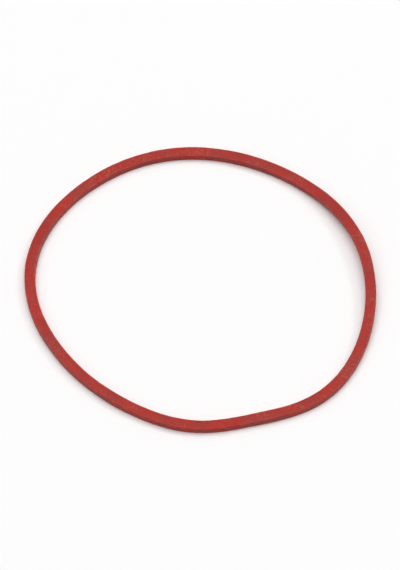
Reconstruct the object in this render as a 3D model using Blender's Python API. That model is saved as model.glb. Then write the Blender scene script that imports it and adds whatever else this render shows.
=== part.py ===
"""A red rubber band lying relaxed on a flat surface.

The band is one closed loop of rubber, cut square across from an extruded tube. Its section has the
tube's wall between two straight knife cuts, with the edges of the cuts hardly rounded. Laid down
loose, the loop keeps a few soft corners and flat stretches, and one stretch stands a little clear of
the surface. Metres, +Z up, with the origin at the bottom centre of the loop.

Headings go round the loop in degrees: 0 is +X, the right, and 90 is +Y, the back.
"""
import math
from dataclasses import dataclass

import bmesh
import bpy
from mathutils import Matrix, Vector

# The extruded tube that the band is cut from
TUBE_OUTER_DIAMETER = 0.050
WALL_THICKNESS = 0.0016
BORE_OFFSET = 0.00003
THICK_SIDE_HEADING = 100.0

# The slice cut from the tube
CUT_WIDTH = 0.0012
CUT_EDGE_RADIUS = 0.0001

# How finely the solid is divided, and the angle in degrees above which an edge looks crisp
RING_STEPS = 144
EDGE_STEPS = 2
CRISP_EDGE_ANGLE = 40.0

# Finish
RUBBER_COLOUR = (0.33, 0.027, 0.019, 1.0)
RUBBER_ROUGHNESS = 0.62
RUBBER_METALLIC = 0.0


@dataclass(frozen=True)
class Swell:
    """A smooth rise, or fall, of a value around one heading, and nothing beyond its half span."""

    heading: float
    rise: float
    half_span: float

    def at(self, heading: float) -> float:
        """The swell's share of the value at a heading."""
        turn = (heading - self.heading + 180.0) % 360.0 - 180.0
        if abs(turn) >= self.half_span:
            return 0.0
        return self.rise * math.cos(0.5 * math.pi * turn / self.half_span) ** 4


# Soft corners stand out from the mean circle and flat stretches lie inside it
LEFT_CORNER = Swell(heading=169.0, rise=0.00096, half_span=65.0)
LEFT_FRONT_FLAT = Swell(heading=240.0, rise=-0.00300, half_span=131.0)
RIGHT_FRONT_FLAT = Swell(heading=291.0, rise=-0.00140, half_span=44.0)
RIGHT_FRONT_CORNER = Swell(heading=299.0, rise=0.00080, half_span=88.0)
RIGHT_BACK_FLAT = Swell(heading=65.0, rise=-0.00074, half_span=74.0)
OUTLINE_SWELLS = (
    LEFT_CORNER,
    LEFT_FRONT_FLAT,
    RIGHT_FRONT_FLAT,
    RIGHT_FRONT_CORNER,
    RIGHT_BACK_FLAT,
)

# The stretch that stands clear of the surface, and where the section rolls about the loop's line
RIGHT_LIFT = Swell(heading=14.0, rise=0.0010, half_span=60.0)
RIGHT_BACK_ROLL = Swell(heading=30.0, rise=9.0, half_span=46.0)
LEFT_CORNER_ROLL = Swell(heading=166.0, rise=-5.0, half_span=28.0)
LIFT_SWELLS = (RIGHT_LIFT,)
ROLL_SWELLS = (RIGHT_BACK_ROLL, LEFT_CORNER_ROLL)


def swelled(swells: tuple, heading: float) -> float:
    """The sum of several swells at one heading."""
    return sum(swell.at(heading) for swell in swells)


def line_length(mean_radius: float) -> float:
    """The length round the loop's centre line, for a mean radius."""
    points = [line_point(mean_radius, 360.0 * step / RING_STEPS) for step in range(RING_STEPS)]
    return sum((point - points[index - 1]).length for index, point in enumerate(points))


def line_point(mean_radius: float, heading: float) -> Vector:
    """A point of the loop's centre line, level with the origin."""
    reach = mean_radius + swelled(OUTLINE_SWELLS, heading)
    angle = math.radians(heading)
    return Vector((reach * math.cos(angle), reach * math.sin(angle), 0.0))


def mean_radius_of_loop() -> float:
    """The mean radius that makes the loop as long, to 0.02 mm, as the tube is round at mid wall."""
    mid_wall_radius = 0.5 * (TUBE_OUTER_DIAMETER - WALL_THICKNESS)
    spare_length = math.tau * mid_wall_radius - line_length(mid_wall_radius)
    return mid_wall_radius + spare_length / math.tau


def outward(mean_radius: float, heading: float) -> Vector:
    """The level direction square to the centre line, pointing out of the loop."""
    half_step = 180.0 / RING_STEPS
    ahead = line_point(mean_radius, heading + half_step)
    behind = line_point(mean_radius, heading - half_step)
    along = (ahead - behind).normalized()
    return along.cross(Vector((0.0, 0.0, 1.0)))


def wall_share(heading: float) -> float:
    """The wall at a heading as a share of the mean wall, because the bore is a little off centre."""
    turn = math.radians(heading - THICK_SIDE_HEADING)
    return 1.0 + BORE_OFFSET * math.cos(turn) / WALL_THICKNESS


def cut_ring(radius: float) -> bmesh.types.BMesh:
    """A round slice of tube: the section, a rectangle with eased corners, spun once round +Z."""
    ring = bmesh.new()
    bmesh.ops.create_grid(ring, x_segments=1, y_segments=1, size=0.5)
    bmesh.ops.scale(ring, vec=(WALL_THICKNESS, CUT_WIDTH, 1.0), verts=ring.verts)
    bmesh.ops.bevel(
        ring,
        geom=ring.verts[:],
        offset=CUT_EDGE_RADIUS,
        segments=EDGE_STEPS,
        profile=0.5,
        affect="VERTICES",
        material=-1,
    )
    upright = Matrix.Rotation(math.radians(90.0), 4, "X")
    bmesh.ops.transform(ring, matrix=Matrix.Translation((radius, 0.0, 0.0)) @ upright, verts=ring.verts)
    bmesh.ops.delete(ring, geom=ring.faces[:], context="FACES_ONLY")
    bmesh.ops.spin(
        ring,
        geom=ring.verts[:] + ring.edges[:],
        cent=(0.0, 0.0, 0.0),
        axis=(0.0, 0.0, 1.0),
        angle=math.tau,
        steps=RING_STEPS,
        use_merge=True,
    )
    bmesh.ops.recalc_face_normals(ring, faces=ring.faces)
    return ring


def lay_down(ring: bmesh.types.BMesh, radius: float) -> None:
    """Moves a round ring onto the loop's own line, with its lift and its roll."""
    mean_radius = mean_radius_of_loop()
    up = Vector((0.0, 0.0, 1.0))
    for vertex in ring.verts:
        heading = math.degrees(math.atan2(vertex.co.y, vertex.co.x))
        across = (math.hypot(vertex.co.x, vertex.co.y) - radius) * wall_share(heading)
        above = vertex.co.z
        roll = math.radians(swelled(ROLL_SWELLS, heading))
        level = across * math.cos(roll) - above * math.sin(roll)
        rise = across * math.sin(roll) + above * math.cos(roll)
        reach_down = 0.5 * (CUT_WIDTH * math.cos(roll) + WALL_THICKNESS * abs(math.sin(roll)))
        height = swelled(LIFT_SWELLS, heading) + reach_down + rise
        vertex.co = line_point(mean_radius, heading) + level * outward(mean_radius, heading) + height * up


def centre_over_origin(ring: bmesh.types.BMesh) -> None:
    """Slides the loop so that the origin is in the middle of its length and its breadth."""
    xs = [vertex.co.x for vertex in ring.verts]
    ys = [vertex.co.y for vertex in ring.verts]
    middle = Vector((0.5 * (min(xs) + max(xs)), 0.5 * (min(ys) + max(ys)), 0.0))
    bmesh.ops.translate(ring, vec=-middle, verts=ring.verts)


def rubber_material() -> bpy.types.Material:
    """Matt brick-red rubber."""
    material = bpy.data.materials.new("red_rubber")
    material.use_nodes = True
    shader = material.node_tree.nodes["Principled BSDF"]
    shader.inputs["Base Color"].default_value = RUBBER_COLOUR
    shader.inputs["Roughness"].default_value = RUBBER_ROUGHNESS
    shader.inputs["Metallic"].default_value = RUBBER_METALLIC
    return material


def make_rubber_band() -> bpy.types.Object:
    """The whole band, one closed solid."""
    radius = 0.5 * (TUBE_OUTER_DIAMETER - WALL_THICKNESS)
    ring = cut_ring(radius)
    lay_down(ring, radius)
    centre_over_origin(ring)
    mesh = bpy.data.meshes.new("rubber_band")
    ring.to_mesh(mesh)
    ring.free()
    mesh.shade_smooth()
    mesh.set_sharp_from_angle(angle=math.radians(CRISP_EDGE_ANGLE))
    mesh.materials.append(rubber_material())
    band = bpy.data.objects.new("rubber_band", mesh)
    bpy.context.scene.collection.objects.link(band)
    return band


def main() -> None:
    """Clears the scene and makes the band."""
    for old in list(bpy.data.objects):
        bpy.data.objects.remove(old, do_unlink=True)
    make_rubber_band()


main()
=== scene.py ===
"""The looks of a red rubber band that lies relaxed on a pale surface.

The band is a slice of extruded tube: two walls with the tube's smooth skin, and two faces that the
knife left, a little uneven. Metres, +Z up. Headings go round the loop in degrees, with 0 at the
right, +X, and 90 at the back, +Y.
"""
import logging
import math
from dataclasses import dataclass, field
from enum import Enum

import bmesh
import bpy
from mathutils import Matrix, Vector, noise


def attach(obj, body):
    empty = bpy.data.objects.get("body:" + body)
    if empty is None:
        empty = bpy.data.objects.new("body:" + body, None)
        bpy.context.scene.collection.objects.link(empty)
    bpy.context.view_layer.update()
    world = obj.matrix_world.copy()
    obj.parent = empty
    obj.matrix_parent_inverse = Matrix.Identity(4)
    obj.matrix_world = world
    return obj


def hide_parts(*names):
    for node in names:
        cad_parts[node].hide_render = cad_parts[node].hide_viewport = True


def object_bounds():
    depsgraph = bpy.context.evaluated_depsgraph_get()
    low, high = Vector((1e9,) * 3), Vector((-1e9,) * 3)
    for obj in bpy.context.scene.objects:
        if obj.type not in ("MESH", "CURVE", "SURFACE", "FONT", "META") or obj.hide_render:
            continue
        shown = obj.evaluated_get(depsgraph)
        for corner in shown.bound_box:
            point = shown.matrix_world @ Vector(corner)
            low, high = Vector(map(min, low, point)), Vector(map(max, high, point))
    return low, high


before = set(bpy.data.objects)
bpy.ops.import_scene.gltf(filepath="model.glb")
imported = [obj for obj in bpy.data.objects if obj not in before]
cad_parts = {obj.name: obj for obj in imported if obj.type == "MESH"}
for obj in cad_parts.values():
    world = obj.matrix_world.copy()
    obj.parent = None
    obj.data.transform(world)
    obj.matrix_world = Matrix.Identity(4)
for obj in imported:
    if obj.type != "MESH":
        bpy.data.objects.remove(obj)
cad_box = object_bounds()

log = logging.getLogger("rubber_band")

CAD_NODE = "rubber_band"
BODY = "root"
PLACE_ATTRIBUTE = "round_place"
EDGE_ATTRIBUTE = "edge_nearness"
UP = Vector((0.0, 0.0, 1.0))
MICROMETRE = 0.000001
UNIT_SQUARE_HALF_SIDE = 0.5
LEAST_RISE_OF_CUT_NORMAL = math.sqrt(0.5)
NOISE_MIDDLE = 0.5
WHITE = (1.0, 1.0, 1.0, 1.0)


class Surface(Enum):
    """The kinds of surface on a slice of tube, numbered as the band's material slots."""

    EXTRUDED_WALL = 0
    KNIFE_CUT = 1


class RayKind(Enum):
    """The outputs of a Light Path node for which the surroundings show as plain white."""

    CAMERA = "Is Camera Ray"
    GLOSSY = "Is Glossy Ray"
    TRANSMISSION = "Is Transmission Ray"


@dataclass(frozen=True)
class NoiseLayers:
    """The finer layers of a noise: how many there are, and how strong each is beside the last."""

    detail: float
    roughness: float


def smooth_step(value: float) -> float:
    """Eases a value from 0 to 1.

    Args:
        value: Any number; below 0 counts as 0, and above 1 as 1.

    Returns:
        The eased value.
    """
    held = min(max(value, 0.0), 1.0)
    return held * held * (3.0 - 2.0 * held)


@dataclass(frozen=True)
class Swell:
    """A smooth rise, or fall, of a value around one heading, and nothing beyond its half span."""

    heading: float
    rise: float
    half_span: float

    def at(self, heading: float) -> float:
        """Gives the swell's share of the value.

        Args:
            heading: Heading in degrees.

        Returns:
            The share, in the unit of the rise.
        """
        turn = (heading - self.heading + 180.0) % 360.0 - 180.0
        if abs(turn) >= self.half_span:
            return 0.0
        return self.rise * math.cos(0.5 * math.pi * turn / self.half_span) ** 4


# Soft corners stand out from the mean circle and flat stretches lie inside it
LEFT_CORNER = Swell(heading=169.0, rise=0.00096, half_span=65.0)
LEFT_FRONT_FLAT = Swell(heading=240.0, rise=-0.00300, half_span=131.0)
RIGHT_FRONT_FLAT = Swell(heading=291.0, rise=-0.00140, half_span=44.0)
RIGHT_FRONT_CORNER = Swell(heading=299.0, rise=0.00080, half_span=88.0)
RIGHT_BACK_FLAT = Swell(heading=65.0, rise=-0.00074, half_span=74.0)

# The stretch that stands clear of the surface, and where the section rolls about the loop's line
RIGHT_LIFT = Swell(heading=14.0, rise=0.0010, half_span=60.0)
RIGHT_BACK_ROLL = Swell(heading=30.0, rise=9.0, half_span=46.0)
LEFT_CORNER_ROLL = Swell(heading=166.0, rise=-5.0, half_span=28.0)


@dataclass(frozen=True)
class Station:
    """One place along the loop: its centre and level outward direction, lift, roll and wall share."""

    centre: Vector
    outward: Vector
    lift: float
    roll: float
    wall_share: float


@dataclass
class LoopShape:
    """How the loose band lies: its line seen from above, where it lifts and where it rolls."""

    tube_outer_diameter: float = 0.050
    wall: float = 0.0016
    cut_width: float = 0.0012
    bore_offset: float = 0.00003
    thick_side_heading: float = 100.0
    line_steps: int = 144
    stations_to_a_degree: float = 1000.0
    outline: tuple[Swell, ...] = (
        LEFT_CORNER,
        LEFT_FRONT_FLAT,
        RIGHT_FRONT_FLAT,
        RIGHT_FRONT_CORNER,
        RIGHT_BACK_FLAT,
    )
    lifts: tuple[Swell, ...] = (RIGHT_LIFT,)
    rolls: tuple[Swell, ...] = (RIGHT_BACK_ROLL, LEFT_CORNER_ROLL)
    mean_radius: float = field(init=False)
    stations: dict[int, Station] = field(init=False, default_factory=dict)

    def __post_init__(self) -> None:
        """Finds the mean radius at which the line is as long, to 0.02 mm, as the tube at mid wall."""
        self.mean_radius = self.mid_wall_radius
        spare_length = math.tau * self.mid_wall_radius - self.line_length()
        self.mean_radius += spare_length / math.tau

    @property
    def mid_wall_radius(self) -> float:
        """The radius of the tube at the middle of its wall."""
        return 0.5 * (self.tube_outer_diameter - self.wall)

    def line_length(self) -> float:
        """The length of the loop's centre line."""
        points = [self.line_point(360.0 * step / self.line_steps) for step in range(self.line_steps)]
        return sum((point - points[index - 1]).length for index, point in enumerate(points))

    def line_point(self, heading: float) -> Vector:
        """Gives a point of the centre line.

        Args:
            heading: Heading in degrees.

        Returns:
            The point, level with the origin.
        """
        reach = self.mean_radius + sum(swell.at(heading) for swell in self.outline)
        angle = math.radians(heading)
        return Vector((reach * math.cos(angle), reach * math.sin(angle), 0.0))

    def station(self, heading: float) -> Station:
        """Gives the place along the loop at a heading, worked out once for each.

        Args:
            heading: Heading in degrees.

        Returns:
            The station.
        """
        key = round(heading * self.stations_to_a_degree)
        if key not in self.stations:
            half_step = 180.0 / self.line_steps
            ahead = self.line_point(heading + half_step)
            behind = self.line_point(heading - half_step)
            turn = math.radians(heading - self.thick_side_heading)
            self.stations[key] = Station(
                centre=self.line_point(heading),
                outward=(ahead - behind).normalized().cross(UP),
                lift=sum(swell.at(heading) for swell in self.lifts),
                roll=math.radians(sum(swell.at(heading) for swell in self.rolls)),
                wall_share=1.0 + self.bore_offset * math.cos(turn) / self.wall,
            )
        return self.stations[key]

    def laid(self, place: Vector) -> Vector:
        """Moves a point of the round slice to where it lies in the loose band.

        Args:
            place: The point on the slice while it is still round and level.

        Returns:
            The point on the band as it lies.
        """
        here = self.station(math.degrees(math.atan2(place.y, place.x)))
        across = (math.hypot(place.x, place.y) - self.mid_wall_radius) * here.wall_share
        level = across * math.cos(here.roll) - place.z * math.sin(here.roll)
        rise = across * math.sin(here.roll) + place.z * math.cos(here.roll)
        reach_down = 0.5 * (self.cut_width * math.cos(here.roll) + self.wall * abs(math.sin(here.roll)))
        return here.centre + level * here.outward + (here.lift + reach_down + rise) * UP


@dataclass(frozen=True)
class Relief:
    """The unevenness of the rubber, all of it sunk below the true size by a small clearance or more."""

    clearance: float = 0.000002
    crown_depth: float = 0.000030
    sway_depth: float = 0.000060
    sway_length: float = 0.0050
    knife_mark_depth: float = 0.000030
    knife_mark_pitch: float = 0.00042
    knife_mark_length: float = 0.0024
    knife_mark_slant: float = 0.45
    die_line_depth: float = 0.000014
    die_line_pitch: float = 0.00060
    nick_depth: float = 0.000045
    nick_length: float = 0.0008
    nick_threshold: float = 0.25

    def depth(
        self, across: float, place: Vector, cut_share: float, crown: float, edge_nearness: float
    ) -> float:
        """Gives how far the surface is sunk at one point.

        Args:
            across: How far the point lies outside the middle of the wall.
            place: The point on the slice while it is still round and level.
            cut_share: 1 on a knife-cut face, 0 on a wall, and between them on an edge.
            crown: 0 in the middle of a face or a wall, and 1 at its edges.
            edge_nearness: 1 on the edge of a cut, easing to 0 away from it.

        Returns:
            The depth in metres, never less than the clearance.
        """
        around = Vector((place.x, place.y, 0.0))
        slanted = around + self.knife_mark_slant * across * UP.cross(around.normalized())
        knife_mark = noise.noise(slanted / self.knife_mark_pitch + across / self.knife_mark_length * UP)
        die_line = noise.noise(around / self.die_line_pitch)
        sway = noise.noise(place / self.sway_length)
        nick = noise.noise(place / self.nick_length + UP)
        nick_share = max(0.0, nick - self.nick_threshold) / (1.0 - self.nick_threshold)
        return (
            self.clearance
            + self.crown_depth * crown
            + self.sway_depth * max(0.0, sway)
            + self.knife_mark_depth * max(0.0, knife_mark) * cut_share
            + self.die_line_depth * max(0.0, die_line) * (1.0 - cut_share)
            + self.nick_depth * nick_share * edge_nearness
        )


class NodeBoard:
    """Places nodes in one tree and joins them."""

    def __init__(self, tree: bpy.types.NodeTree) -> None:
        """Takes the tree to work in."""
        self.tree = tree

    def add(self, kind: str, **settings: object) -> bpy.types.Node:
        """Places a node.

        Args:
            kind: The node's type, such as ShaderNodeMath.
            **settings: Values for the node's own properties.

        Returns:
            The new node.
        """
        node = self.tree.nodes.new(kind)
        for name, value in settings.items():
            setattr(node, name, value)
        return node

    def feed(self, node: bpy.types.Node, values: dict) -> bpy.types.Node:
        """Sets a node's inputs, from other nodes' outputs or from plain values.

        Args:
            node: The node to feed.
            values: Input name or number to output socket, number or colour.

        Returns:
            The same node.
        """
        for key, value in values.items():
            if isinstance(value, bpy.types.NodeSocket):
                self.tree.links.new(value, node.inputs[key])
            else:
                node.inputs[key].default_value = value
        return node

    def maths(self, operation: str, *values: object) -> bpy.types.NodeSocket:
        """Places a Math node.

        Args:
            operation: The node's operation, such as MULTIPLY.
            *values: Its inputs in order, sockets or numbers.

        Returns:
            The node's output.
        """
        node = self.add("ShaderNodeMath", operation=operation)
        return self.feed(node, dict(enumerate(values))).outputs[0]

    def vectors(self, operation: str, *values: object) -> bpy.types.NodeSocket:
        """Places a Vector Math node whose result is a vector.

        Args:
            operation: The node's operation, such as CROSS_PRODUCT.
            *values: Its vector inputs in order, sockets or triples.

        Returns:
            The node's vector output.
        """
        node = self.add("ShaderNodeVectorMath", operation=operation)
        return self.feed(node, dict(enumerate(values))).outputs["Vector"]

    def scaled(self, vector: bpy.types.NodeSocket, scale: object) -> bpy.types.NodeSocket:
        """Places a Vector Math node that makes a vector longer or shorter.

        Args:
            vector: The vector.
            scale: A socket or a number.

        Returns:
            The scaled vector.
        """
        node = self.add("ShaderNodeVectorMath", operation="SCALE")
        return self.feed(node, {"Vector": vector, "Scale": scale}).outputs["Vector"]

    def spread(
        self, value: object, low: float, high: float, to_low: float = 0.0, to_high: float = 1.0
    ) -> bpy.types.NodeSocket:
        """Places a Map Range node that eases between its ends and clamps.

        Args:
            value: The socket to map.
            low: Value that becomes to_low.
            high: Value that becomes to_high.
            to_low: Result at low and on its far side.
            to_high: Result at high and on its far side.

        Returns:
            The mapped value.
        """
        node = self.add("ShaderNodeMapRange", interpolation_type="SMOOTHSTEP")
        self.feed(node, {"Value": value, "From Min": low, "From Max": high})
        return self.feed(node, {"To Min": to_low, "To Max": to_high}).outputs["Result"]

    def blend(self, share: object, first: object, second: object) -> bpy.types.NodeSocket:
        """Places a colour Mix node.

        Args:
            share: How much of the second colour, 0 to 1.
            first: Colour at 0.
            second: Colour at 1.

        Returns:
            The mixed colour.
        """
        node = self.add("ShaderNodeMix", data_type="RGBA")
        colour_inputs = [socket for socket in node.inputs if socket.type == "RGBA"]
        numbers = [socket for socket in node.inputs if socket.type == "VALUE"]
        factor = next(socket for socket in numbers if socket.name == "Factor")
        for socket, value in ((factor, share), (colour_inputs[0], first), (colour_inputs[1], second)):
            if isinstance(value, bpy.types.NodeSocket):
                self.tree.links.new(value, socket)
            else:
                socket.default_value = value
        return next(socket for socket in node.outputs if socket.type == "RGBA")

    def noise(
        self, place: bpy.types.NodeSocket, scale: object, layers: NoiseLayers
    ) -> bpy.types.NodeSocket:
        """Places a Noise Texture node.

        Args:
            place: Where the pattern is read.
            scale: Pattern repeats for each unit of the place.
            layers: The noise's finer layers.

        Returns:
            The noise's value, about 0.5 on average.
        """
        node = self.add("ShaderNodeTexNoise")
        self.feed(node, {"Vector": place, "Scale": scale})
        self.feed(node, {"Detail": layers.detail, "Roughness": layers.roughness})
        return node.outputs["Fac"]


class SharedEffects:
    """The node groups that both finishes use, each built once.

    A noise is about 0.5 on average. Each span gives the noise values that become 0 and 1.
    """

    TONE_SPAN = (0.28, 0.72)
    PATCH_SPAN = (0.36, 0.70)
    SPECK_SPAN = (0.45, 0.75)
    GROOVE_SPAN = (0.46, 0.30)
    BREAK_SPAN = (0.30, 0.62)
    CLOUD_LAYERS = NoiseLayers(detail=3.0, roughness=0.55)
    GRAIN_LAYERS = NoiseLayers(detail=2.0, roughness=0.6)
    PATCH_LAYERS = NoiseLayers(detail=4.0, roughness=0.6)
    SPECK_LAYERS = NoiseLayers(detail=2.0, roughness=0.7)
    COARSE_LINE_LAYERS = NoiseLayers(detail=1.0, roughness=0.5)
    FINE_LINE_LAYERS = NoiseLayers(detail=2.0, roughness=0.6)
    BREAK_LAYERS = NoiseLayers(detail=3.0, roughness=0.6)
    COARSE_LINE_SCALE = 1.0
    FINE_LINE_SCALE = 2.7
    FINE_LINE_SHARE = 0.4

    def __init__(self) -> None:
        """Builds every group."""
        self.pigment_and_groove_shade = self.build_pigment_and_groove_shade()
        self.powder = self.build_powder()
        self.drawn_lines = self.build_drawn_lines()
        self.painted_edge_glow = self.build_painted_edge_glow()

    def start(
        self, name: str, inputs: dict, outputs: dict
    ) -> tuple[NodeBoard, bpy.types.Node, bpy.types.Node]:
        """Starts a group with its sockets.

        Args:
            name: The group's name.
            inputs: Input name to socket type.
            outputs: Output name to socket type.

        Returns:
            The board, the group's input node and its output node.
        """
        tree = bpy.data.node_groups.new(name, "ShaderNodeTree")
        for label, kind in inputs.items():
            tree.interface.new_socket(name=label, in_out="INPUT", socket_type=kind)
        for label, kind in outputs.items():
            tree.interface.new_socket(name=label, in_out="OUTPUT", socket_type=kind)
        board = NodeBoard(tree)
        return board, board.add("NodeGroupInput"), board.add("NodeGroupOutput")

    def build_pigment_and_groove_shade(self) -> bpy.types.NodeTree:
        """Builds the cloudy, finely grained colour of the dyed rubber, with painted shade deeper in the
        grooves of the drawn lines and paler ridges.

        Returns:
            The group, with a Color and a Tone output.
        """
        board, given, result = self.start(
            "rubber_pigment_and_groove_shade",
            {
                "Deep": "NodeSocketColor",
                "Pale": "NodeSocketColor",
                "Cloud Scale": "NodeSocketFloat",
                "Grain Scale": "NodeSocketFloat",
                "Grain Share": "NodeSocketFloat",
                "Line Height": "NodeSocketFloat",
                "Line Share": "NodeSocketFloat",
            },
            {"Color": "NodeSocketColor", "Tone": "NodeSocketFloat"},
        )
        place = board.add("ShaderNodeTexCoord").outputs["Object"]
        cloud = board.noise(place, given.outputs["Cloud Scale"], self.CLOUD_LAYERS)
        grain = board.noise(place, given.outputs["Grain Scale"], self.GRAIN_LAYERS)
        level = cloud
        # The drawn lines' height shifts the tone: painted shade deepens their grooves and lightens their
        # ridges
        for pattern, share in ((grain, "Grain Share"), (given.outputs["Line Height"], "Line Share")):
            swing = board.maths("SUBTRACT", pattern, NOISE_MIDDLE)
            level = board.maths("ADD", level, board.maths("MULTIPLY", swing, given.outputs[share]))
        tone = board.spread(level, *self.TONE_SPAN)
        colour = board.blend(tone, given.outputs["Deep"], given.outputs["Pale"])
        board.feed(result, {"Color": colour, "Tone": tone})
        return board.tree

    def build_powder(self) -> bpy.types.NodeTree:
        """Builds the film of powder that keeps bands from sticking, patchy, and caught in the drawn lines.

        Returns:
            The group, with a Mask output.
        """
        board, given, result = self.start(
            "powder_film",
            {
                "Patch Scale": "NodeSocketFloat",
                "Speck Scale": "NodeSocketFloat",
                "Line Height": "NodeSocketFloat",
                "Line Share": "NodeSocketFloat",
                "Amount": "NodeSocketFloat",
            },
            {"Mask": "NodeSocketFloat"},
        )
        place = board.add("ShaderNodeTexCoord").outputs["Object"]
        patch_noise = board.noise(place, given.outputs["Patch Scale"], self.PATCH_LAYERS)
        speck_noise = board.noise(place, given.outputs["Speck Scale"], self.SPECK_LAYERS)
        patches = board.spread(patch_noise, *self.PATCH_SPAN)
        specks = board.spread(speck_noise, *self.SPECK_SPAN)
        grooves = board.spread(given.outputs["Line Height"], *self.GROOVE_SPAN)
        caught = board.maths("MULTIPLY", grooves, given.outputs["Line Share"])
        film = board.maths("MULTIPLY", patches, board.maths("ADD", specks, caught))
        board.feed(result, {"Mask": board.maths("MULTIPLY", film, given.outputs["Amount"])})
        return board.tree

    def build_drawn_lines(self) -> bpy.types.NodeTree:
        """Builds fine lines that run across the band, a little slanted over the width of a cut.

        Returns:
            The group, with a Height output.
        """
        board, given, result = self.start(
            "drawn_lines",
            {
                "Mid Wall Radius": "NodeSocketFloat",
                "Pitch": "NodeSocketFloat",
                "Length": "NodeSocketFloat",
                "Slant": "NodeSocketFloat",
            },
            {"Height": "NodeSocketFloat"},
        )
        place = board.add("ShaderNodeAttribute", attribute_name=PLACE_ATTRIBUTE).outputs["Vector"]
        level = board.vectors("MULTIPLY", place, (1.0, 1.0, 0.0))
        outward = board.vectors("NORMALIZE", level)
        radius = board.add("ShaderNodeVectorMath", operation="DOT_PRODUCT")
        across = board.maths(
            "SUBTRACT",
            board.feed(radius, {0: level, 1: outward}).outputs["Value"],
            given.outputs["Mid Wall Radius"],
        )
        height = board.feed(board.add("ShaderNodeSeparateXYZ"), {"Vector": place}).outputs["Z"]
        slide = board.maths("MULTIPLY", across, given.outputs["Slant"])
        slanted = board.vectors(
            "ADD",
            board.scaled(outward, given.outputs["Mid Wall Radius"]),
            board.scaled(board.vectors("CROSS_PRODUCT", tuple(UP), outward), slide),
        )
        from_line_to_line = board.scaled(slanted, board.maths("DIVIDE", 1.0, given.outputs["Pitch"]))
        along_a_line = board.maths("DIVIDE", board.maths("ADD", across, height), given.outputs["Length"])
        upwards = board.feed(board.add("ShaderNodeCombineXYZ"), {"Z": along_a_line}).outputs["Vector"]
        line_place = board.vectors("ADD", from_line_to_line, upwards)
        coarse = board.noise(line_place, self.COARSE_LINE_SCALE, self.COARSE_LINE_LAYERS)
        fine = board.noise(line_place, self.FINE_LINE_SCALE, self.FINE_LINE_LAYERS)
        coarse_part = board.maths("MULTIPLY", coarse, 1.0 - self.FINE_LINE_SHARE)
        fine_part = board.maths("MULTIPLY", fine, self.FINE_LINE_SHARE)
        board.feed(result, {"Height": board.maths("ADD", coarse_part, fine_part)})
        return board.tree

    def build_painted_edge_glow(self) -> bpy.types.NodeTree:
        """Builds a painted glow on the cut edges, lighter and oranger as if light shone through the thin
        rubber, broken up along the loop.

        Returns:
            The group, with a Mask output.
        """
        board, given, result = self.start(
            "painted_edge_glow",
            {"Break Scale": "NodeSocketFloat", "Amount": "NodeSocketFloat"},
            {"Mask": "NodeSocketFloat"},
        )
        nearness = board.add("ShaderNodeAttribute", attribute_name=EDGE_ATTRIBUTE).outputs["Fac"]
        place = board.add("ShaderNodeTexCoord").outputs["Object"]
        break_noise = board.noise(place, given.outputs["Break Scale"], self.BREAK_LAYERS)
        breaks = board.spread(break_noise, *self.BREAK_SPAN)
        # A painted glow at the cut edges, lighter as if light shone through the thin rubber
        mask = board.maths("MULTIPLY", board.maths("MULTIPLY", nearness, breaks), given.outputs["Amount"])
        board.feed(result, {"Mask": mask})
        return board.tree


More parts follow.
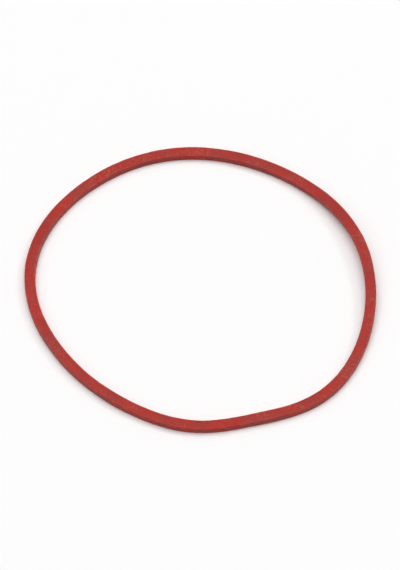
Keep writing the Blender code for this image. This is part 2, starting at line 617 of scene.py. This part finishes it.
@dataclass(frozen=True)
class RubberFinish:
    """One surface of the dyed rubber. Colours are linear, and scales are repeats to the metre."""

    name: str
    surface: Surface
    deep_colour: tuple[float, float, float, float]
    pale_colour: tuple[float, float, float, float]
    powder_colour: tuple[float, float, float, float]
    # Painted glow of light through the thin rubber at the cut edges
    edge_glow_colour: tuple[float, float, float, float]
    roughness: float
    roughness_sway: float
    powder_amount: float
    edge_glow_amount: float
    line_pitch: float
    line_length: float
    line_slant: float
    line_height: float
    # How far the drawn lines' height shifts the tone: painted shade in the grooves, paler ridges
    painted_line_shade_share: float
    grain_height: float
    cloud_scale: float = 420.0
    grain_scale: float = 5200.0
    grain_share: float = 0.35
    powder_patch_scale: float = 260.0
    powder_speck_scale: float = 3800.0
    powder_line_share: float = 0.90
    powder_roughness: float = 0.16
    edge_glow_break_scale: float = 900.0
    subsurface_weight: float = 0.20
    subsurface_radius: tuple[float, float, float] = (1.0, 0.24, 0.15)
    subsurface_scale: float = 0.0007
    specular_level: float = 0.29
    surface_grain_layers: NoiseLayers = NoiseLayers(detail=3.0, roughness=0.6)

    def material(self, effects: SharedEffects, mid_wall_radius: float) -> bpy.types.Material:
        """Makes the material.

        Args:
            effects: The shared node groups.
            mid_wall_radius: The radius of the tube at the middle of its wall.

        Returns:
            The material, ready for the band's slot.
        """
        material = bpy.data.materials.new(self.name)
        material.use_nodes = True
        board = NodeBoard(material.node_tree)
        shader = material.node_tree.nodes["Principled BSDF"]
        lines = self.placed(board, effects.drawn_lines, {
            "Mid Wall Radius": mid_wall_radius,
            "Pitch": self.line_pitch,
            "Length": self.line_length,
            "Slant": self.line_slant,
        }).outputs["Height"]
        # The colour: the rubber's own cloud and grain, with painted shade in the grooves of the drawn lines
        pigment_and_groove_shade = self.placed(board, effects.pigment_and_groove_shade, {
            "Deep": self.deep_colour,
            "Pale": self.pale_colour,
            "Cloud Scale": self.cloud_scale,
            "Grain Scale": self.grain_scale,
            "Grain Share": self.grain_share,
            "Line Height": lines,
            "Line Share": self.painted_line_shade_share,
        })
        powder = self.placed(board, effects.powder, {
            "Patch Scale": self.powder_patch_scale,
            "Speck Scale": self.powder_speck_scale,
            "Line Height": lines,
            "Line Share": self.powder_line_share,
            "Amount": self.powder_amount,
        }).outputs["Mask"]
        # Painted glow at the cut edges, where light would shine through the thin rubber
        rub = self.placed(board, effects.painted_edge_glow, {
            "Break Scale": self.edge_glow_break_scale,
            "Amount": self.edge_glow_amount,
        }).outputs["Mask"]
        edge_glowed_colour = board.blend(rub, pigment_and_groove_shade.outputs["Color"], self.edge_glow_colour)
        dusted = board.blend(powder, edge_glowed_colour, self.powder_colour)
        smoothest = self.roughness - self.roughness_sway
        swayed = board.spread(pigment_and_groove_shade.outputs["Tone"], 0.0, 1.0, smoothest, self.roughness)
        roughness = board.maths("ADD", swayed, board.maths("MULTIPLY", powder, self.powder_roughness))
        board.feed(shader, {
            "Base Color": dusted,
            "Roughness": roughness,
            "Normal": self.bumped(board, lines),
            "Subsurface Weight": self.subsurface_weight,
            "Subsurface Radius": self.subsurface_radius,
            "Subsurface Scale": self.subsurface_scale,
            "Specular IOR Level": self.specular_level,
        })
        return material

    def placed(self, board: NodeBoard, group: bpy.types.NodeTree, values: dict) -> bpy.types.Node:
        """Places a shared group in the material.

        Args:
            board: The material's board.
            group: The group to place.
            values: This finish's own values for its inputs.

        Returns:
            The group's node.
        """
        return board.feed(board.add("ShaderNodeGroup", node_tree=group), values)

    def bumped(self, board: NodeBoard, lines: bpy.types.NodeSocket) -> bpy.types.NodeSocket:
        """Adds the drawn lines and a fine grain to the surface's normal.

        Args:
            board: The material's board.
            lines: The height of the drawn lines.

        Returns:
            The normal.
        """
        place = board.add("ShaderNodeTexCoord").outputs["Object"]
        grain = board.noise(place, self.grain_scale, self.surface_grain_layers)
        line_bump = board.add("ShaderNodeBump")
        board.feed(line_bump, {"Height": lines, "Strength": 1.0, "Distance": self.line_height})
        grain_bump = board.add("ShaderNodeBump")
        board.feed(grain_bump, {
            "Height": grain,
            "Strength": 1.0,
            "Distance": self.grain_height,
            "Normal": line_bump.outputs["Normal"],
        })
        return grain_bump.outputs["Normal"]


WALL_FINISH = RubberFinish(
    name="extruded_red_rubber",
    surface=Surface.EXTRUDED_WALL,
    deep_colour=(0.266, 0.0082, 0.0036, 1.0),
    pale_colour=(0.378, 0.0132, 0.0062, 1.0),
    powder_colour=(0.480, 0.140, 0.102, 1.0),
    # Painted glow at the cut edges
    edge_glow_colour=(0.420, 0.0600, 0.0350, 1.0),
    roughness=0.50,
    roughness_sway=0.12,
    powder_amount=0.35,
    edge_glow_amount=0.55,
    line_pitch=0.00020,
    line_length=0.0040,
    line_slant=0.0,
    line_height=0.0000140,
    # Painted shade in the grooves of the drawn lines
    painted_line_shade_share=0.50,
    grain_height=0.0000030,
)
CUT_FINISH = RubberFinish(
    name="knife_cut_red_rubber",
    surface=Surface.KNIFE_CUT,
    deep_colour=(0.296, 0.0098, 0.0044, 1.0),
    pale_colour=(0.414, 0.0152, 0.0072, 1.0),
    powder_colour=(0.520, 0.165, 0.120, 1.0),
    # Painted glow at the cut edges
    edge_glow_colour=(0.440, 0.0700, 0.0400, 1.0),
    roughness=0.60,
    roughness_sway=0.14,
    powder_amount=0.45,
    edge_glow_amount=0.55,
    line_pitch=0.00026,
    line_length=0.0012,
    line_slant=0.45,
    line_height=0.0000420,
    # Painted shade in the grooves of the drawn lines
    painted_line_shade_share=1.10,
    grain_height=0.0000050,
)


@dataclass
class RubberBand:
    """The band: one slice of tube, laid down loose, with its unevenness and its two finishes."""

    shape: LoopShape = field(default_factory=LoopShape)
    relief: Relief = field(default_factory=Relief)
    edge_radius: float = 0.0001
    edge_reach: float = 0.00028
    arcs: int = 20
    steps_to_an_arc: int = 70
    edge_steps: int = 4
    face_cuts: int = 9
    wall_cuts: int = 7
    finishes: tuple[RubberFinish, ...] = (WALL_FINISH, CUT_FINISH)

    def section(self) -> bmesh.types.BMesh:
        """Draws the section: wall by cut width, with eased corners and enough points on each side.

        Returns:
            The outline as a ring of edges, standing in the plane of X and Z.
        """
        outline = bmesh.new()
        bmesh.ops.create_grid(outline, x_segments=1, y_segments=1, size=UNIT_SQUARE_HALF_SIDE)
        bmesh.ops.scale(outline, vec=(self.shape.wall, self.shape.cut_width, 1.0), verts=outline.verts)
        bmesh.ops.bevel(
            outline,
            geom=outline.verts[:],
            offset=self.edge_radius,
            segments=self.edge_steps,
            profile=0.5,
            affect="VERTICES",
            material=-1,
        )
        bmesh.ops.delete(outline, geom=outline.faces[:], context="FACES_ONLY")
        sides = [edge for edge in outline.edges if edge.calc_length() > self.edge_radius]
        faces = [edge for edge in sides if abs(edge.verts[0].co.y - edge.verts[1].co.y) < MICROMETRE]
        walls = [edge for edge in sides if edge not in faces]
        bmesh.ops.subdivide_edges(outline, edges=faces, cuts=self.face_cuts)
        bmesh.ops.subdivide_edges(outline, edges=walls, cuts=self.wall_cuts)
        bmesh.ops.rotate(outline, matrix=Matrix.Rotation(math.radians(90.0), 3, "X"), verts=outline.verts)
        return outline

    def round_slice(self) -> bmesh.types.BMesh:
        """Spins the section into the slice as it was on the tube, round and level.

        Returns:
            The slice, with its faces pointing out.
        """
        ring = self.section()
        bmesh.ops.translate(ring, vec=(self.shape.mid_wall_radius, 0.0, 0.0), verts=ring.verts)
        arc = math.tau / self.arcs
        for angle, steps, is_copied in (
            (arc, self.steps_to_an_arc, False),
            (math.tau - arc, self.arcs - 1, True),
        ):
            bmesh.ops.spin(
                ring,
                geom=ring.verts[:] + ring.edges[:] + ring.faces[:],
                cent=(0.0, 0.0, 0.0),
                axis=UP,
                angle=angle,
                steps=steps,
                use_duplicate=is_copied,
            )
        bmesh.ops.remove_doubles(ring, verts=ring.verts, dist=MICROMETRE)
        bmesh.ops.recalc_face_normals(ring, faces=ring.faces)
        return ring

    def cut_share(self, place: Vector) -> float:
        """Says how much a point belongs to a knife-cut face.

        Args:
            place: The point on the round slice.

        Returns:
            1 on a cut face and 0 on a wall.
        """
        beyond_wall = abs(place.z) - (0.5 * self.shape.cut_width - self.edge_radius)
        return smooth_step(beyond_wall / self.edge_radius)

    def crown(self, place: Vector) -> float:
        """Says how far a point is from the middle of its face or wall.

        Args:
            place: The point on the round slice.

        Returns:
            0 in the middle, rising to 1 at the edges.
        """
        across_share = 2.0 * self.across(place) / self.shape.wall
        height_share = 2.0 * place.z / self.shape.cut_width
        return min(across_share ** 2, height_share ** 2)

    def across(self, place: Vector) -> float:
        """How far a point of the round slice lies outside the middle of the wall."""
        return math.hypot(place.x, place.y) - self.shape.mid_wall_radius

    def edge_nearness(self, place: Vector) -> float:
        """Says how near a point is to one of the four cut edges.

        Args:
            place: The point on the round slice.

        Returns:
            1 on the edge, easing to 0 at the edge's reach.
        """
        from_wall = 0.5 * self.shape.wall - abs(self.across(place))
        from_face = 0.5 * self.shape.cut_width - abs(place.z)
        return 1.0 - smooth_step(max(from_wall, from_face) / self.edge_reach)

    def sort_surfaces(self, ring: bmesh.types.BMesh) -> None:
        """Gives each face of the round slice the number of its surface, a cut where it lies nearly level.

        Args:
            ring: The round slice.
        """
        for face in ring.faces:
            is_cut = abs(face.normal.z) > LEAST_RISE_OF_CUT_NORMAL
            face.material_index = (Surface.KNIFE_CUT if is_cut else Surface.EXTRUDED_WALL).value

    def lay_down(self, ring: bmesh.types.BMesh) -> None:
        """Lays the slice down loose, centres it on the origin and sinks its unevenness.

        Args:
            ring: The round slice, which keeps its round places in an attribute.
        """
        places = ring.verts.layers.float_vector.new(PLACE_ATTRIBUTE)
        edges = ring.verts.layers.float.new(EDGE_ATTRIBUTE)
        for vertex in ring.verts:
            vertex[places] = vertex.co
            vertex[edges] = self.edge_nearness(vertex.co)
            vertex.co = self.shape.laid(vertex.co)
        xs = [vertex.co.x for vertex in ring.verts]
        ys = [vertex.co.y for vertex in ring.verts]
        middle = Vector((0.5 * (min(xs) + max(xs)), 0.5 * (min(ys) + max(ys)), 0.0))
        ring.normal_update()
        for vertex in ring.verts:
            place = Vector(vertex[places])
            depth = self.relief.depth(
                self.across(place),
                place,
                self.cut_share(place),
                self.crown(place),
                vertex[edges],
            )
            vertex.co -= middle + depth * vertex.normal

    def build(self) -> bpy.types.Object:
        """Builds the band's mesh.

        Returns:
            The band, at the origin, unturned and unscaled.
        """
        ring = self.round_slice()
        self.sort_surfaces(ring)
        self.lay_down(ring)
        mesh = bpy.data.meshes.new("laid_rubber_band")
        ring.to_mesh(mesh)
        ring.free()
        mesh.shade_smooth()
        band = bpy.data.objects.new("laid_rubber_band", mesh)
        bpy.context.scene.collection.objects.link(band)
        return band

    def dress(self, band: bpy.types.Object) -> None:
        """Gives the band its finishes and sets it in the frame.

        Args:
            band: The band.
        """
        effects = SharedEffects()
        for finish in sorted(self.finishes, key=lambda finish: finish.surface.value):
            band.data.materials.append(finish.material(effects, self.shape.mid_wall_radius))
        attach(band, BODY)
        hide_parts(CAD_NODE)
        log.info("%s: %d faces, replaces %s", band.name, len(band.data.polygons), CAD_NODE)


@dataclass
class Softbox:
    """A round soft lamp that looks at the band. Heading and height are in degrees."""

    name: str
    heading: float
    height: float
    distance: float
    width: float
    share_of_light: float

    def build(self) -> bpy.types.Object:
        """Places the lamp.

        Returns:
            The lamp, whose light lets a level surface show that share of its own colour.
        """
        heading, height = math.radians(self.heading), math.radians(self.height)
        level = math.cos(height)
        away = Vector((math.cos(heading) * level, math.sin(heading) * level, math.sin(height)))
        lamp = bpy.data.lights.new(self.name, "AREA")
        lamp.shape = "DISK"
        lamp.size = self.width
        reach_squared = self.distance ** 2 + (0.5 * self.width) ** 2
        lamp.energy = self.share_of_light * math.pi ** 2 * reach_squared / math.sin(height)
        softbox = bpy.data.objects.new(self.name, lamp)
        softbox.location = self.distance * away
        softbox.rotation_euler = away.to_track_quat("Z", "Y").to_euler()
        bpy.context.scene.collection.objects.link(softbox)
        log.info("%s: %.2f W", self.name, lamp.energy)
        return softbox


@dataclass
class Studio:
    """The pale floor, the even surroundings, the lamps and the camera."""

    floor_radius: float = 2.0
    floor_depth: float = 0.00001
    floor_segments: int = 64
    floor_colour: tuple[float, float, float, float] = (0.985, 0.985, 0.985, 1.0)
    surroundings_share: float = 0.25
    lamps: tuple[Softbox, ...] = (
        Softbox("top_softbox", heading=90.0, height=80.0, distance=3.0, width=3.6, share_of_light=0.59),
        Softbox("key_softbox", heading=20.0, height=46.0, distance=3.0, width=0.66, share_of_light=0.09),
        Softbox("fill_softbox", heading=215.0, height=50.0, distance=3.0, width=2.1, share_of_light=0.07),
    )
    camera_elevation: float = 58.0
    camera_distance: float = 0.60
    sensor_width: float = 36.0
    band_share_of_width: float = 0.88

    def build_floor(self) -> bpy.types.Object:
        """Lays the floor just under the band.

        Returns:
            The floor.
        """
        disc = bmesh.new()
        bmesh.ops.create_circle(
            disc, cap_ends=True, radius=self.floor_radius, segments=self.floor_segments
        )
        bmesh.ops.translate(disc, vec=-self.floor_depth * UP, verts=disc.verts)
        mesh = bpy.data.meshes.new("floor")
        disc.to_mesh(mesh)
        disc.free()
        floor = bpy.data.objects.new("floor", mesh)
        bpy.context.scene.collection.objects.link(floor)
        material = bpy.data.materials.new("pale_floor")
        material.use_nodes = True
        NodeBoard(material.node_tree).feed(material.node_tree.nodes["Principled BSDF"], {
            "Base Color": self.floor_colour,
            "Roughness": 1.0,
            "Specular IOR Level": 0.0,
        })
        mesh.materials.append(material)
        return floor

    def build_surroundings(self) -> None:
        """Lights the band evenly from all round, and shows plain white behind it."""
        world = bpy.data.worlds.new("surroundings")
        world.use_nodes = True
        bpy.context.scene.world = world
        board = NodeBoard(world.node_tree)
        rays = board.add("ShaderNodeLightPath")
        seen = board.maths("MAXIMUM", rays.outputs[RayKind.CAMERA.value], rays.outputs[RayKind.GLOSSY.value])
        seen = board.maths("MAXIMUM", seen, rays.outputs[RayKind.TRANSMISSION.value])
        strength = board.spread(seen, 0.0, 1.0, self.surroundings_share, 1.0)
        board.feed(world.node_tree.nodes["Background"], {"Color": WHITE, "Strength": strength})

    def build_camera(self) -> bpy.types.Object:
        """Places the camera at the photograph's viewing angle, with the band filling the width.

        Returns:
            The camera.
        """
        low, high = (Vector(corner) for corner in cad_box)
        middle = 0.5 * (low + high)
        elevation = math.radians(self.camera_elevation)
        away = Vector((0.0, -math.cos(elevation), math.sin(elevation)))
        lens = bpy.data.cameras.new("camera")
        lens.sensor_fit = "HORIZONTAL"
        lens.sensor_width = self.sensor_width
        view_width = (high.x - low.x) / self.band_share_of_width
        lens.lens = self.sensor_width * self.camera_distance / view_width
        camera = bpy.data.objects.new("camera", lens)
        camera.location = middle + self.camera_distance * away
        camera.rotation_euler = away.to_track_quat("Z", "Y").to_euler()
        bpy.context.scene.collection.objects.link(camera)
        bpy.context.scene.camera = camera
        return camera

    def build(self) -> None:
        """Builds the whole studio."""
        bpy.context.scene.view_settings.view_transform = "Standard"
        self.build_floor()
        self.build_surroundings()
        for lamp in self.lamps:
            lamp.build()
        self.build_camera()


def main() -> None:
    """Builds the band and the studio."""
    logging.basicConfig(level=logging.INFO, format="%(name)s: %(message)s")
    band = RubberBand()
    band.dress(band.build())
    Studio().build()


if __name__ == "__main__":
    main()
